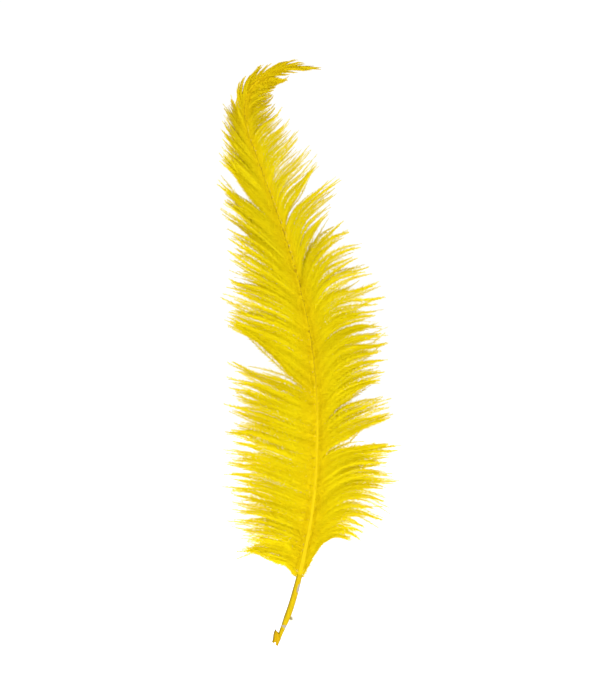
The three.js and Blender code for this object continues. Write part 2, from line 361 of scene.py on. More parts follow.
def barb_material():
    """Dyed barbs: paler low down and amber on the curl, with uneven dye and painted shade at the
    roots.
    """
    material, tree, shader = new_material("dyed_barbs")
    by_height = ramp(
        tree,
        height_share(tree),
        (0.12, LOW_DYE),
        (0.55, MIDDLE_DYE),
        (0.84, HIGH_DYE),
        (0.97, CURL_DYE),
    )
    patches = noise(tree, rest_position(tree), scale=60.0, detail=3.0)
    clouded = mix(tree, patches, THIN_DYE, THICK_DYE)
    colour = mix(tree, CLOUD_SHARE, by_height, clouded)
    # Each barb's tint is a random tone; for the barbs behind it is darker as painted shade.
    tinted = ramp(tree, attribute(tree, "tint"), (0.0, GREY_TINT), (1.0, WHITE))
    colour = mix(tree, TINT_SHARE, colour, tinted, "MULTIPLY")
    # Painted shade at the barbs' roots, near the shaft.
    root = ramp(tree, attribute(tree, "run"), (0.0, WHITE), (ROOT_RUN, BLACK))
    colour = mix(tree, calculate(tree, "MULTIPLY", root, ROOT_SHARE), colour, ROOT_SHADE)
    tree.links.new(colour, shader.inputs["Base Color"])
    shader.inputs["Roughness"].default_value = 0.65
    shader.inputs["Specular IOR Level"].default_value = 0.06
    return material


def horn_material(name, body, streak, patch=None, upper=None, edge=None):
    """Dyed horn: streaks along the shaft, an uneven coat and fine scratches. The patch colour
    shows where the dye is off, upper is painted shade far up the shaft, and edge is painted shade
    at the sides."""
    material, tree, shader = new_material(name)
    stretch = new_node(tree, "ShaderNodeMapping")
    stretch.inputs["Scale"].default_value = (1.0, 1.0, STREAK_STRETCH)
    tree.links.new(rest_position(tree), stretch.inputs["Vector"])
    streaks = noise(tree, stretch.outputs["Vector"], scale=1800.0, detail=4.0)
    streaked = ramp(tree, streaks, (0.35, BLACK), (0.7, WHITE))
    colour = mix(tree, streaked, body, streak)
    coat = noise(tree, rest_position(tree), scale=220.0, detail=3.0)
    colour = mix(tree, calculate(tree, "MULTIPLY", coat, COAT_SHARE), colour, streak)
    # The edge colour is painted shade at the horn's sides.
    if edge:
        colour = mix(tree, attribute(tree, "edge"), colour, edge)
    # The upper colour is painted shade on the shaft far up, where it shows only in a slit between
    # the barbs.
    if upper:
        slit_shade = ramp(tree, height_share(tree), (0.38, BLACK), (0.54, WHITE))
        colour = mix(tree, slit_shade, colour, upper)
    if patch:
        flakes = noise(tree, rest_position(tree), scale=1500.0, detail=3.0)
        flaked = calculate(tree, "MULTIPLY_ADD", flakes, FLAKE_SHARE, attribute(tree, "bare"))
        worn = ramp(tree, flaked, (0.62, BLACK), (0.78, WHITE))
        colour = mix(tree, worn, colour, patch)
    tree.links.new(colour, shader.inputs["Base Color"])
    rough = calculate(tree, "MULTIPLY_ADD", streaks, ROUGH_SPREAD, ROUGH_LEAST)
    tree.links.new(rough, shader.inputs["Roughness"])
    bump = new_node(tree, "ShaderNodeBump")
    bump.inputs["Strength"].default_value = 0.25
    bump.inputs["Distance"].default_value = SCRATCH_DEPTH
    tree.links.new(streaks, bump.inputs["Height"])
    tree.links.new(bump.outputs["Normal"], shader.inputs["Normal"])
    shader.inputs["Specular IOR Level"].default_value = 0.08
    return material


def cells(tree):
    made = new_node(tree, "ShaderNodeTexVoronoi")
    made.inputs["Scale"].default_value = 4000.0
    tree.links.new(rest_position(tree), made.inputs["Vector"])
    return made.outputs["Distance"]


def fuzz(tree):
    return noise(tree, rest_position(tree), scale=900.0)


def speckle(tree):
    return noise(tree, rest_position(tree), scale=3.0)


def dull_material(name, pattern, pale, dark):
    """Two colours that a pattern mixes, without gloss."""
    material, tree, shader = new_material(name)
    colour = mix(tree, pattern(tree), pale, dark)
    tree.links.new(colour, shader.inputs["Base Color"])
    shader.inputs["Roughness"].default_value = 0.9
    return material, shader


BARBS = barb_material()
HORN = horn_material(
    "dyed_shaft",
    body=linear(234, 208, 2),
    streak=linear(220, 186, 0),
    # upper: painted shade where the barbs close over the shaft far up
    upper=linear(180, 146, 0),
)
QUILL = horn_material(
    "quill_horn",
    body=linear(228, 200, 0),
    streak=linear(196, 160, 0),
    patch=BARE_HORN,
    # edge: painted shade at the quill's sides
    edge=linear(140, 118, 0),
)
SHEATH = horn_material(
    "torn_sheath",
    body=linear(228, 188, 0),
    streak=linear(190, 148, 0),
    # edge: painted shade at the sheath's sides
    edge=linear(132, 106, 0),
)
PITH, _ = dull_material("pith", cells, linear(244, 236, 208), linear(214, 200, 150))
DOWN, _ = dull_material("down", fuzz, linear(206, 198, 160), linear(180, 168, 110))


# ---------------- meshes


def make_piece(name, points, triangles, material, body, attributes=None, uv=None):
    """A mesh that rides on a body, or on none if the body is None."""
    mesh = bpy.data.meshes.new(name)
    mesh.vertices.add(len(points))
    mesh.vertices.foreach_set("co", np.asarray(points, np.float32).ravel())
    corners = np.asarray(triangles, np.int32).ravel()
    mesh.loops.add(len(corners))
    mesh.loops.foreach_set("vertex_index", corners)
    count = len(corners) // 3
    mesh.polygons.add(count)
    mesh.polygons.foreach_set("loop_start", np.arange(count, dtype=np.int32) * 3)
    mesh.polygons.foreach_set("loop_total", np.full(count, 3, np.int32))
    mesh.update(calc_edges=True)
    mesh.polygons.foreach_set("use_smooth", np.ones(count, bool))
    for key, values in (attributes or {}).items():
        layer = mesh.attributes.new(key, "FLOAT", "POINT")
        layer.data.foreach_set("value", np.asarray(values, np.float32))
    if uv is not None:
        layer = mesh.uv_layers.new(name="OFBake")
        layer.data.foreach_set("uv", np.asarray(uv, np.float32)[corners].ravel())
    mesh.materials.append(material)
    piece = bpy.data.objects.new(name, mesh)
    bpy.context.scene.collection.objects.link(piece)
    if body:
        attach(piece, body)
    return piece


def smooth_share(low, high, value):
    """From 0 where the value is low to 1 where it is high, easing in and out."""
    t = np.clip((value - low) / (high - low), 0.0, 1.0)
    return t * t * (3 - 2 * t)


# ---------------- barbs

BARB_PITCH = 0.46 * MM
BARBULE_STEP = 0.8 * MM
BARBULE_LENGTH = 4.4 * MM
RAMUS_WIDTH = 0.32 * MM
RAMUS_TAPER = 0.75  # of its width is gone at a barb's tip
FEWEST_STEPS = 8  # along a barb
ROLL, TWIST = 0.25, 0.5  # spreads of a barb's turn about itself, at its root and to its tip
# The share of their full length that the barbules have at a barb's root, and the share of
# the barb over which they grow; then the same at its tip, with the distance.
ROOT_FRINGE, ROOT_RUN_UP = 0.8, 0.12
TIP_FRINGE, TIP_FADE = 0.3, 18 * MM
BARBULE_REACH = (0.55, 1.15)
# Angle of the barbules to their barb, its spread and how much less it is at the tip.
SWEEP, SWEEP_SPREAD, SWEEP_LOSS = 0.72, 0.2, 0.25
FLATNESS = 0.4  # spread of the barbules' angles out of the barb's plane
MAP_ACROSS = (0.46, 0.54, 0.04, 0.96)  # strip's edges and barbules' tips in a map row
GUIDE_POINTS = 40
BACK_SHARE = 0.4  # of the barbs lie behind the others
BACK_DEPTH = 2.5 * MM


def barb_strips(lines, tints, rng, barbule_length, ramus_width=RAMUS_WIDTH):
    """Turns barb centre lines into strips with a fringe of barbules on both sides.
    Returns points, triangles, attributes and a map with one row for each barb."""
    all_points, all_faces, runs, all_tints, maps = [], [], [], [], []
    base = 0
    rows = len(lines)
    for row, line in enumerate(lines):
        at = along(line)
        length = at[-1]
        count = max(FEWEST_STEPS, int(length / BARBULE_STEP))
        wanted = np.linspace(0.0, length, count + 1)
        centre = np.stack([np.interp(wanted, at, line[:, k]) for k in range(3)], axis=1)
        run = wanted / length
        ahead = unit(np.gradient(centre, axis=0))
        side = unit(np.cross(BACK, ahead))
        above = unit(np.cross(ahead, side))
        roll = rng.normal(0.0, ROLL) + run * rng.normal(0.0, TWIST)
        side, above = (
            side * np.cos(roll)[:, None] + above * np.sin(roll)[:, None],
            above * np.cos(roll)[:, None] - side * np.sin(roll)[:, None],
        )
        half = 0.5 * ramus_width * (1.0 - RAMUS_TAPER * run)
        left = centre - side * half[:, None]
        right = centre + side * half[:, None]
        from_tip = length - wanted
        from_root = smooth_share(0.0, ROOT_RUN_UP, run)
        fringe = barbule_length * (ROOT_FRINGE + (1.0 - ROOT_FRINGE) * from_root)
        fringe *= TIP_FRINGE + (1.0 - TIP_FRINGE) * smooth_share(0.0, TIP_FADE, from_tip)
        middle_run = 0.5 * (run[:-1] + run[1:])
        tips = []
        for sign, edge in ((LEFT, left), (RIGHT, right)):
            middle = 0.5 * (edge[:-1] + edge[1:])
            reach = fringe[:-1] * rng.uniform(*BARBULE_REACH, count)
            sweep = rng.normal(SWEEP, SWEEP_SPREAD, count) - SWEEP_LOSS * middle_run
            lift = rng.normal(0.0, FLATNESS, count)
            outward = sign * side[:-1] * np.cos(lift)[:, None]
            outward += above[:-1] * np.sin(lift)[:, None]
            direction = ahead[:-1] * np.cos(sweep)[:, None] + outward * np.sin(sweep)[:, None]
            tips.append(middle + direction * reach[:, None])
        points = np.concatenate([left, right, tips[0], tips[1]])
        i = np.arange(count)
        l0, l1 = base + i, base + i + 1
        r0, r1 = l0 + count + 1, l1 + count + 1
        tl, tr = base + 2 * (count + 1) + i, base + 2 * (count + 1) + count + i
        faces = np.concatenate([
            np.stack([l0, r0, r1], 1), np.stack([l0, r1, l1], 1),
            np.stack([l0, l1, tl], 1), np.stack([r1, r0, tr], 1),
        ])
        row_run = np.concatenate([run, run, middle_run, middle_run])
        across = np.repeat(MAP_ACROSS, (count + 1, count + 1, count, count))
        all_points.append(points)
        all_faces.append(faces)
        runs.append(row_run)
        all_tints.append(np.full(len(points), tints[row]))
        maps.append(np.stack([row_run, (row + across) / rows], 1))
        base += len(points)
    attributes = {"run": np.concatenate(runs), "tint": np.concatenate(all_tints)}
    points, faces, uv = (np.concatenate(parts) for parts in (all_points, all_faces, maps))
    return points, faces, attributes, uv


def add_barbs(node, lines, tints, rng, barbule_length):
    """Makes the bundle of barbs that takes a node's place."""
    points, faces, attributes, uv = barb_strips(lines, tints, rng, barbule_length)
    piece = make_piece(
        f"{node}_barbs", points, faces, BARBS, BODY_OF[node], attributes, uv
    )
    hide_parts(node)


def resampled(line, count):
    at = along(line)
    return smooth_line(line, at, np.linspace(0.0, at[-1], count))


GUIDE = np.linspace(0.0, 1.0, GUIDE_POINTS)
NOTCH_RING = 6.5  # the notch beside a lock's tip lies between the solid's rings 6 and 7
TURN = 0.85  # how fully the wisps take the slope that their ends have
TURN_FROM, TURN_TO = 0.25, 0.95  # shares of a barb's length over which it turns
KEEP_TIP = 0.8  # how much of the shift that the turn gives a tip is taken back
TIP_FROM = 0.75  # share of a lock's length from which its direction is its tip's
LEAST_REST = 0.08  # of the locks' length that their shared line has past the notch
REST_POINTS = 8
PART_FROM, PART_TO = 0.6, 1.4  # shares of the notch over which neighbours part
USUAL_REACH = 1.02

# How far neighbours stand apart past the notch between them, as a share of the way from
# the line on which they would meet to their CAD edges: the lock below, then the named one.
APART = {"left_lock_09": (0.45, 1.0), "left_lock_15": (0.45, 2.0), "right_lock_06": (0.6, 1.6),
         "right_lock_08": (0.5, 1.3), "right_lock_14": (0.1, 0.9), "right_lock_16": (0.6, 1.1)}
# Share of their solid's length that the barbs of some locks have.
REACH = {"left_lock_01": 1.1, "left_lock_02": 1.06, "left_lock_03": 1.06, "left_lock_04": 1.07,
         "left_lock_05": 1.06, "left_lock_08": 0.98, "left_lock_15": 0.96, "left_lock_16": 0.95,
         "right_lock_01": 1.12, "right_lock_02": 1.1, "right_lock_11": 1.07,
         "right_lock_12": 1.1, "right_lock_13": 1.04, "right_lock_14": 0.88,
         "right_lock_18": 0.95, "right_lock_19": 0.9, "right_lock_20": 0.8,
         "right_lock_21": 0.78}
# How full some locks are: a share of the others' number of barbs and barbule length.
FULLNESS = {"left_lock_16": 0.8, "left_lock_17": 0.8, "right_lock_14": 0.7,
            "right_lock_15": 0.6, "right_lock_16": 0.6, "right_lock_17": 0.6,
            "right_lock_18": 0.7, "right_lock_19": 0.8}
FOOT_HANG = 8 * MM  # how far below the lowest locks some of their barbs start
FOOT_SHARE = 0.45  # of those locks' barbs
FOOT_FADE = 0.28  # share of such a barb's length over which it joins the lock
FOOT_KEEP = (0.3, 1.0)  # share of its length that it keeps
FOOT_DENSITY = 1.6  # of barbs in the lowest locks, in the others' density
DROP_TO = 0.5  # share of the lowest edge's length over which it drops
# How far below its solid each vane's lowest edge hangs: the right one's is lifted.
FOOT_DROP = {LEFT: 3.6 * MM, RIGHT: -1.2 * MM}

# Shares of the plume's height, and how steeply the wisps there point up or down at their
# ends: rise for each millimetre outwards.
SLOPE = {
    LEFT: ((0.15, 0.32, 0.42, 0.46, 0.55, 0.65, 0.8, 0.93, 1.0),
           (0.1, 0.0, 0.2, 0.4, 0.25, 0.6, 0.8, 1.6, 2.5)),
    RIGHT: ((0.17, 0.24, 0.29, 0.34, 0.5, 0.7, 0.8, 0.88, 1.0),
            (-1.1, -0.8, -0.3, 0.0, 0.05, 0.05, 0.6, 1.5, 0.4)),
}
# Shares of the height, and the share of a barb's length from which the wisps part there.
PARTING = {LEFT: ((0.2, 0.5, 1.0), (0.58, 0.55, 0.5)), RIGHT: ((0.2, 0.35), (0.58, 0.42))}


class Lock:
    """The room that one lock's barbs have: the two edges of its CAD solid and its middle."""

    def __init__(self, node):
        low, high = rod_edges(node)
        self.side = LEFT if node.startswith("left") else RIGHT
        self.span = np.linalg.norm(high[0] - low[0])
        self.foot = nearest_on_shaft(low[0])
        self.apart = APART.get(node, (0.0, 0.0))
        self.reach = REACH.get(node, USUAL_REACH)
        self.fullness = FULLNESS.get(node, 1.0)
        self.lowest = False
        self.middle = resampled(0.5 * (low + high), GUIDE_POINTS)
        self.length = along(self.middle)[-1]
        self.ahead = unit(self.middle[-1] - self.middle[int(TIP_FROM * GUIDE_POINTS)])
        self.low, self.low_notch = self.edge(low)
        self.high, self.high_notch = self.edge(high)
        height = self.middle[-1][2] / cad_high[2]
        self.slope = np.interp(height, *SLOPE[self.side])
        self.parting = np.interp(height, *PARTING[self.side])

    def edge(self, points):
        """An edge as a guide line, and the share of its length where the notch is."""
        at = along(points)
        notch = np.interp(NOTCH_RING, np.arange(len(at)), at) / at[-1]
        return resampled(points, GUIDE_POINTS), notch

    def between(self, share):
        """A line at a share of the way from the low edge by the middle to the high one."""
        share = np.broadcast_to(share, GUIDE.shape)[:, None]
        lower = self.low + (self.middle - self.low) * np.minimum(2 * share, 1.0)
        return lower + (self.high - self.middle) * np.maximum(2 * share - 1, 0.0)

    def course(self, share, slope):
        """A line that keeps its place between the edges and bends over to the slope."""
        line = self.between(share)
        steps = np.diff(line, axis=0)
        step = np.linalg.norm(steps, axis=1, keepdims=True)
        turn = TURN * smooth_share(TURN_FROM, TURN_TO, GUIDE[1:])[:, None]
        outward = unit(np.array([self.side, 0.0, slope]))
        direction = unit(unit(steps) * (1 - turn) + outward * turn)
        turned = np.concatenate([line[:1], line[0] + np.cumsum(direction * step, axis=0)])
        turned -= KEEP_TIP * (turned[-1] - line[-1]) * GUIDE[:, None]
        turned[:, 1] = line[:, 1]
        return turned


def freed(lines, notches, ahead, length):
    """The line on which neighbouring locks meet: their edges as far as the notch, then on
    in the direction that their tips have."""
    parts = [line[: int(n * (GUIDE_POINTS - 1)) + 1] for line, n in zip(lines, notches)]
    shared = sum(resampled(part, GUIDE_POINTS) for part in parts) / len(parts)
    own = unit(shared[-1] - shared[-3])
    rest = max(length - along(shared)[-1], LEAST_REST * length)
    gone = np.linspace(0.0, rest, REST_POINTS)[1:, None]
    turning = unit(own + ahead * gone / rest)
    return resampled(np.concatenate([shared, shared[-1] + turning * gone]), GUIDE_POINTS)


def close_up(below, above):
    """Lets two neighbours meet, all the way or as far as the notch between them."""
    notches = (below.high_notch, above.low_notch)
    ahead = unit(below.ahead + above.ahead)
    length = 0.5 * (below.length + above.length)
    shared = freed((below.high, above.low), notches, ahead, length)
    notch = min(notches)
    past_notch = smooth_share(PART_FROM * notch, PART_TO * notch, GUIDE)[:, None]
    below.high = shared + (below.high - shared) * above.apart[0] * past_notch
    above.low = shared + (above.low - shared) * above.apart[1] * past_notch


def drawn(line, towards, share):
    """The line, moved towards another by a share that runs along it."""
    return line * (1 - share)[:, None] + towards * share[:, None]


WISP_PITCH = {LEFT: 5.6 * MM, RIGHT: 6.6 * MM}
FEWEST_WISPS = 2
POINTS_IN_WISP = 3
TAIL_FROM = 0.6  # share of a barb's length from which its point strays by itself
WISP_SHIFT = 0.25  # of a wisp's room, either way
WISP_SLOPE, POINT_SLOPE = 0.16, 0.12  # spreads of the slopes
WISP_RISE, POINT_RISE = 0.035, 1.5 * MM  # spreads of the height, the first in lock lengths
WISP_DEPTH, POINT_DEPTH = 2.0 * MM, 1.2 * MM  # spreads of the depth
WISP_REACH, POINT_REACH = (0.95, 1.1), (0.9, 1.04)
POINT_DRAW, POINT_DRAW_TO = 0.5, 0.9  # how far points close up on their wisp, and by where
BARB_DRAW, BARB_DRAW_TO = 0.9, 0.92  # how far barbs close up on their point


def wisp_points(lock, rng):
    """Barbs hang together in wisps, and each wisp ends in a few points. Returns the place
    between the lock's edges, the centre line and the length share of each point."""
    tail = smooth_share(TAIL_FROM, 1.0, GUIDE)
    wisps = max(FEWEST_WISPS, int(round(lock.span / WISP_PITCH[lock.side])))
    places, courses, lengths = [], [], []
    for wisp in range(wisps):
        slope = lock.slope + rng.normal(0.0, WISP_SLOPE)
        place = (wisp + 0.5 + rng.uniform(-WISP_SHIFT, WISP_SHIFT)) / wisps
        middle = lock.course(place, slope)
        middle[:, 2] += rng.normal(0.0, WISP_RISE) * lock.length * GUIDE**2
        middle[:, 1] += rng.normal(0.0, WISP_DEPTH) * GUIDE**2
        length = lock.reach * rng.uniform(*WISP_REACH)
        for point in range(POINTS_IN_WISP):
            own = place + ((point + 0.5) / POINTS_IN_WISP - 0.5) / wisps
            line = lock.course(own, slope + rng.normal(0.0, POINT_SLOPE))
            draw = POINT_DRAW * smooth_share(lock.parting, POINT_DRAW_TO, GUIDE)
            line = drawn(line, middle, draw)
            line[:, 2] += rng.normal(0.0, POINT_RISE) * tail**2
            line[:, 1] += rng.normal(0.0, POINT_DEPTH) * tail
            places.append(own)
            courses.append(line)
            lengths.append(length * rng.uniform(*POINT_REACH))
    return np.array(places), courses, lengths


# Shares of the plume's height, and how many of the shaft's radii the barbs leave it there
# to the side of its centre line and in front of it.
ROOT_OUT = ((0.14, 0.2, 0.28, 0.42, 0.55), (0.9, 0.7, 0.5, 0.4, 0.1))
ROOT_FORWARD = ((0.14, 0.28, 0.55), (0.75, 0.95, 1.25))


def on_shaft_side(root, side, behind):
    """Where a barb leaves the shaft. Low down the barbs leave its sides, and further up
    they close over its front."""
    foot, radius, ahead, across = shaft_at(nearest_on_shaft(root))
    front = np.cross(across, ahead)
    front *= -np.sign(front[1])
    height = foot[2] / cad_high[2]
    out = np.interp(height, *ROOT_OUT)
    forward = 0.0 if behind else np.interp(height, *ROOT_FORWARD)
    return foot + across * side * radius * out + front * radius * forward


FEWEST_BARBS = 8
BACK_DRIFT, BACK_SLOPE, BACK_RISE = 0.2, 0.3, 0.8 * MM  # spreads of the barbs behind
BACK_STAND, BACK_TO = (0.4, 1.4), 0.3  # shares of BACK_DEPTH, and of the length to reach it
# The barbs behind get only the darker tints: painted shade behind the front barbs. Within each
# range the tint is a random tone.
BACK_KEEP, BACK_TINT = (0.6, 0.96), (0.0, 0.55)
FRONT_DEPTH, FRONT_RISE = 1.0 * MM, 0.35 * MM  # spreads of the barbs in front
FRONT_TO = 0.6  # share of the length by which they have their depth
FRONT_KEEP, FRONT_TINT = (0.9, 1.0), (0.35, 1.0)
SHORT_SHARE, SHORT_KEEP = 0.2, (0.65, 0.9)  # of the front barbs are shorter, by so much
STRAY_SHARE = 0.05  # of all barbs
STRAY_RISE, STRAY_KEEP = 0.07, (0.95, 1.08)  # in lengths of the lock
WAVE_RISE, WAVE_RISE_TURN = 0.4 * MM, 7  # size, and radians along a barb
WAVE_DEPTH, WAVE_DEPTH_TURN = 0.6 * MM, 6
WAVE_LAG = 1.7
OVERRUN = 6  # steps that a line can go on, straight, for barbs that reach further


def lock_lines(lock, rng):
    """Centre lines and tints of one lock's barbs."""
    places, courses, lengths = wisp_points(lock, rng)
    lines, tints = [], []
    density = lock.fullness * (FOOT_DENSITY if lock.lowest else 1.0)
    barbs = max(FEWEST_BARBS, int(lock.span / BARB_PITCH * density))
    for i in range(barbs):
        place = (i + rng.uniform(0.0, 1.0)) / barbs
        behind = rng.random() < BACK_SHARE
        if behind:
            drift = rng.normal(0.0, BACK_DRIFT) * GUIDE
            share = np.clip(place + drift, 0.0, 1.0)
            line = lock.course(share, lock.slope + rng.normal(0.0, BACK_SLOPE))
            back = BACK_DEPTH * smooth_share(0.0, BACK_TO, GUIDE)
            line[:, 1] += back * rng.uniform(*BACK_STAND)
            line[:, 2] += rng.normal(0.0, BACK_RISE) * GUIDE**2
            keep = lock.reach * rng.uniform(*BACK_KEEP)
            tint = rng.uniform(*BACK_TINT)
        else:
            point = int(np.argmin(np.abs(places - place)))
            line = lock.course(place, lock.slope)
            draw = BARB_DRAW * smooth_share(lock.parting, BARB_DRAW_TO, GUIDE)
            line = drawn(line, courses[point], draw)
            line[:, 1] += rng.normal(0.0, FRONT_DEPTH) * smooth_share(0.0, FRONT_TO, GUIDE)
            line[:, 2] += rng.normal(0.0, FRONT_RISE) * GUIDE**2
            keep = lengths[point] * rng.uniform(*FRONT_KEEP)
            if rng.random() < SHORT_SHARE:
                keep *= rng.uniform(*SHORT_KEEP)
            tint = rng.uniform(*FRONT_TINT)
        wave = rng.uniform(0.0, 2 * math.pi)
        line[:, 2] += WAVE_RISE * np.sin(GUIDE * WAVE_RISE_TURN + wave) * GUIDE
        line[:, 1] += WAVE_DEPTH * np.sin(GUIDE * WAVE_DEPTH_TURN + wave * WAVE_LAG) * GUIDE
        if rng.random() < STRAY_SHARE:
            line[:, 2] += rng.normal(0.0, STRAY_RISE) * lock.length * GUIDE**3
            keep = lock.reach * rng.uniform(*STRAY_KEEP)
        line[0] = on_shaft_side(line[0], lock.side, behind)
        if lock.lowest and rng.random() < FOOT_SHARE:
            start = lock.foot - FOOT_HANG * rng.uniform(0.0, 1.0)
            sunk = shaft_at(start)[0] - shaft_at(lock.foot)[0]
            line += sunk * (1.0 - smooth_share(0.0, FOOT_FADE, GUIDE))[:, None]
            keep *= rng.uniform(*FOOT_KEEP)
        line = np.concatenate([line, [line[-1] + (line[-1] - line[-2]) * OVERRUN]])
        total = along(line)
        wanted = np.linspace(0.0, min(keep * total[-2], total[-1]), GUIDE_POINTS)
        lines.append(smooth_line(line, total, wanted))
        tints.append(tint)
    return lines, tints


FIRST_SEED = 1000
locks = {n: Lock(n) for n in sorted(frame["nodes"]) if "_lock_" in n}
for side in (LEFT, RIGHT):
    row = sorted((lock for lock in locks.values() if lock.side == side), key=lambda k: k.foot)
    row[0].low[:, 2] -= FOOT_DROP[side] * smooth_share(0.0, DROP_TO, GUIDE)
    row[0].lowest = True
    for below, above in zip(row, row[1:]):
        close_up(below, above)
for number, (lock_node, lock) in enumerate(locks.items()):
    rng = np.random.default_rng(FIRST_SEED + number)
    lines, tints = lock_lines(lock, rng)
    add_barbs(lock_node, lines, tints, rng, BARBULE_LENGTH * lock.fullness)


# ---------------- curl

CREST_PITCH = 0.36 * MM
CREST_BARB = 26 * MM
CREST_WISP = 5 * MM
CREST_BARBULE = 1.9 * MM
CREST_STEPS = 14  # edges between which a band's width is read
CREST_POINTS = 24  # along a barb
CREST_FOOT = 8 * MM  # how far below its solid the first wisp of a band starts
CREST_REACH = (0.85, 1.1)
LEAF = 9.0  # millimetres that the last barbs can reach past the shaft's end
CREST_SPREAD = (0.85, 1.3)  # shares of the solid's width
TIP_TAPER = 0.9  # of a band's width is gone at the tip
TAPER_FROM, TAPER_TO = -16 * MM, 4 * MM  # past the shaft's end
CREST_TIP_DEPTH, CREST_DEPTH = 1.0 * MM, 0.7 * MM  # spreads of the wisps and of their barbs
CREST_OUT, CREST_BOW = (0.9, 1.0), (0.0, 0.18)  # in distances of the wisp's tip
CREST_ROOT_OUT, CREST_ROOT_FRONT = 0.5, 0.4  # in radii of the shaft
CREST_TINT = (0.2, 1.0)
ROOT_STRETCH = 1.25  # how far a wisp's roots spread over its neighbour's
SHORTER = 5.0  # millimetres at most that a barb stops short of its wisp's tip
SHORTEST_BARB = 5 * MM
OUT_POWER = 1.4  # how late along its length a barb swings outwards


def crest_widths(node):
    """Where along the shaft a crest band lies, and how wide it is there."""
    spots = np.array(sorted((nearest_on_shaft(p), far_from_shaft(p)) for p in Solid(node).points))
    start, end = spots[0][0], spots[-1][0]
    edges = np.linspace(start, end, CREST_STEPS)
    middles = 0.5 * (edges[:-1] + edges[1:])
    spans = zip(edges[:-1], edges[1:])
    inside = [(spots[:, 0] >= a) & (spots[:, 0] <= b) for a, b in spans]
    widths = np.array([spots[chosen, 1].max(initial=0.0) for chosen in inside])
    return start, end, middles, widths


def crest_lines(node, side, rng):
    """Barbs that lie along the curl and end in separate points on its outline."""
    start, end, middles, widths = crest_widths(node)
    lines, tints = [], []
    share = np.linspace(0.0, 1.0, CREST_POINTS)
    first = start - CREST_FOOT
    wisps = int((end - first) / CREST_WISP)
    for wisp in range(wisps):
        wisp_foot = first + CREST_WISP * wisp
        tip_at = wisp_foot + CREST_BARB * rng.uniform(*CREST_REACH)
        tip_at = min(tip_at, SHAFT_LENGTH + rng.uniform(0.0, LEAF) * MM)
        tip_out = np.interp(tip_at, middles, widths) * rng.uniform(*CREST_SPREAD)
        past_end = tip_at - SHAFT_LENGTH
        tip_out *= 1.0 - TIP_TAPER * smooth_share(TAPER_FROM, TAPER_TO, past_end)
        tip_back = rng.normal(0.0, CREST_TIP_DEPTH)
        for i in range(int(CREST_WISP / CREST_PITCH)):
            root = wisp_foot + CREST_PITCH * (i + rng.uniform(0.0, 1.0)) * ROOT_STRETCH
            stop = tip_at - rng.uniform(0.0, SHORTER) * MM
            if stop < root + SHORTEST_BARB:
                continue
            at = root + (stop - root) * share
            point, radius, ahead, across = shaft_at(at)
            over = np.maximum(at - SHAFT_LENGTH, 0.0)[:, None]
            out = tip_out * (share**OUT_POWER) * rng.uniform(*CREST_OUT)
            bow = rng.uniform(*CREST_BOW) * tip_out * np.sin(math.pi * share)
            out = side * (CREST_ROOT_OUT * radius + out + bow)
            line = point + ahead * over + across * out[:, None]
            depth = tip_back * share + rng.normal(0.0, CREST_DEPTH) * share
            line[:, 1] += depth - CREST_ROOT_FRONT * radius
            lines.append(line)
            tints.append(rng.uniform(*CREST_TINT))
    return lines, tints


for band, side, seed in (("crest_outer", LEFT, 501), ("crest_inner", RIGHT, 502)):
    rng = np.random.default_rng(seed)
    lines, tints = crest_lines(band, side, rng)
    add_barbs(band, lines, tints, rng, CREST_BARBULE)


# ---------------- shaft and quill

SHAFT_SIDES = 24
SHAFT_STEP, QUILL_STEP = 2 * MM, 0.5 * MM
GROOVE_DEPTH, GROOVE_WIDTH = 0.14, 0.45  # in radii and radians
BACK_ANGLE = math.pi / 2
QUILL_WALL = 0.5 * MM
# Distances along the shaft, and how much thicker the horn looks there than its solid.
SWELL = ((0.0, 20 * MM, 45 * MM, 60 * MM, 85 * MM), (1.0, 1.03, 1.13, 1.08, 1.0))
TURN_ANGLES = np.linspace(0.0, 2 * math.pi, SHAFT_SIDES, endpoint=False)


def tube_rings(at, inset=0.0):
    """Rings of a slightly flattened shaft with a shallow groove along its back."""
    point, radius, ahead, across = shaft_at(at)
    radius = radius * np.interp(at, *SWELL)
    back = unit(np.cross(across, ahead))
    groove = 1.0 - GROOVE_DEPTH * np.exp(-(((TURN_ANGLES - BACK_ANGLE) / GROOVE_WIDTH) ** 2))
    rings = []
    for k in range(len(at)):
        r = radius[k] * groove - inset
        out = across[k] * (r * np.cos(TURN_ANGLES))[:, None]
        rings.append(point[k] + out + back[k] * (r * np.sin(TURN_ANGLES))[:, None])
    return rings


def ring_faces(count, sides, closed=False):
    """Triangles between neighbouring rings, and from the last to the first if closed."""
    faces = []
    for k in range(count if closed else count - 1):
        for i in range(sides):
            j = (i + 1) % sides
            here, there = k * sides, (k + 1) % count * sides
            faces += [(here + i, here + j, there + i), (here + j, there + j, there + i)]
    return faces


def capped(rings):
    """A closed body from rings. The ends have corners of their own, so they shade flat."""
    sides = len(rings[0])
    faces = ring_faces(len(rings), sides)
    start = len(rings) * sides
    end = start + sides
    faces += [(start, start + i + 1, start + i) for i in range(1, sides - 1)]
    faces += [(end, end + i, end + i + 1) for i in range(1, sides - 1)]
    return np.concatenate([*rings, rings[0], rings[-1]]), faces


def node_span(node):
    """Where along the shaft a node begins and ends."""
    spots = [nearest_on_shaft(p) for p in Solid(node).points]
    return min(spots), max(spots)


def steps(start, end, step):
    return np.linspace(start, end, max(2, int((end - start) / step)))


# The visual shaft's lengths reach from the middle of one solid to the middle of the next, across
# the joint between them.
LAST = len(JOINT_ORDER)
cortex_spans = [node_span(f"shaft_cortex_{k + 1}") for k in range(LAST + 1)]
middles = [0.5 * (a + b) for a, b in cortex_spans]
quill_end = 0.5 * (node_span("calamus_tube")[1] + cortex_spans[0][0])

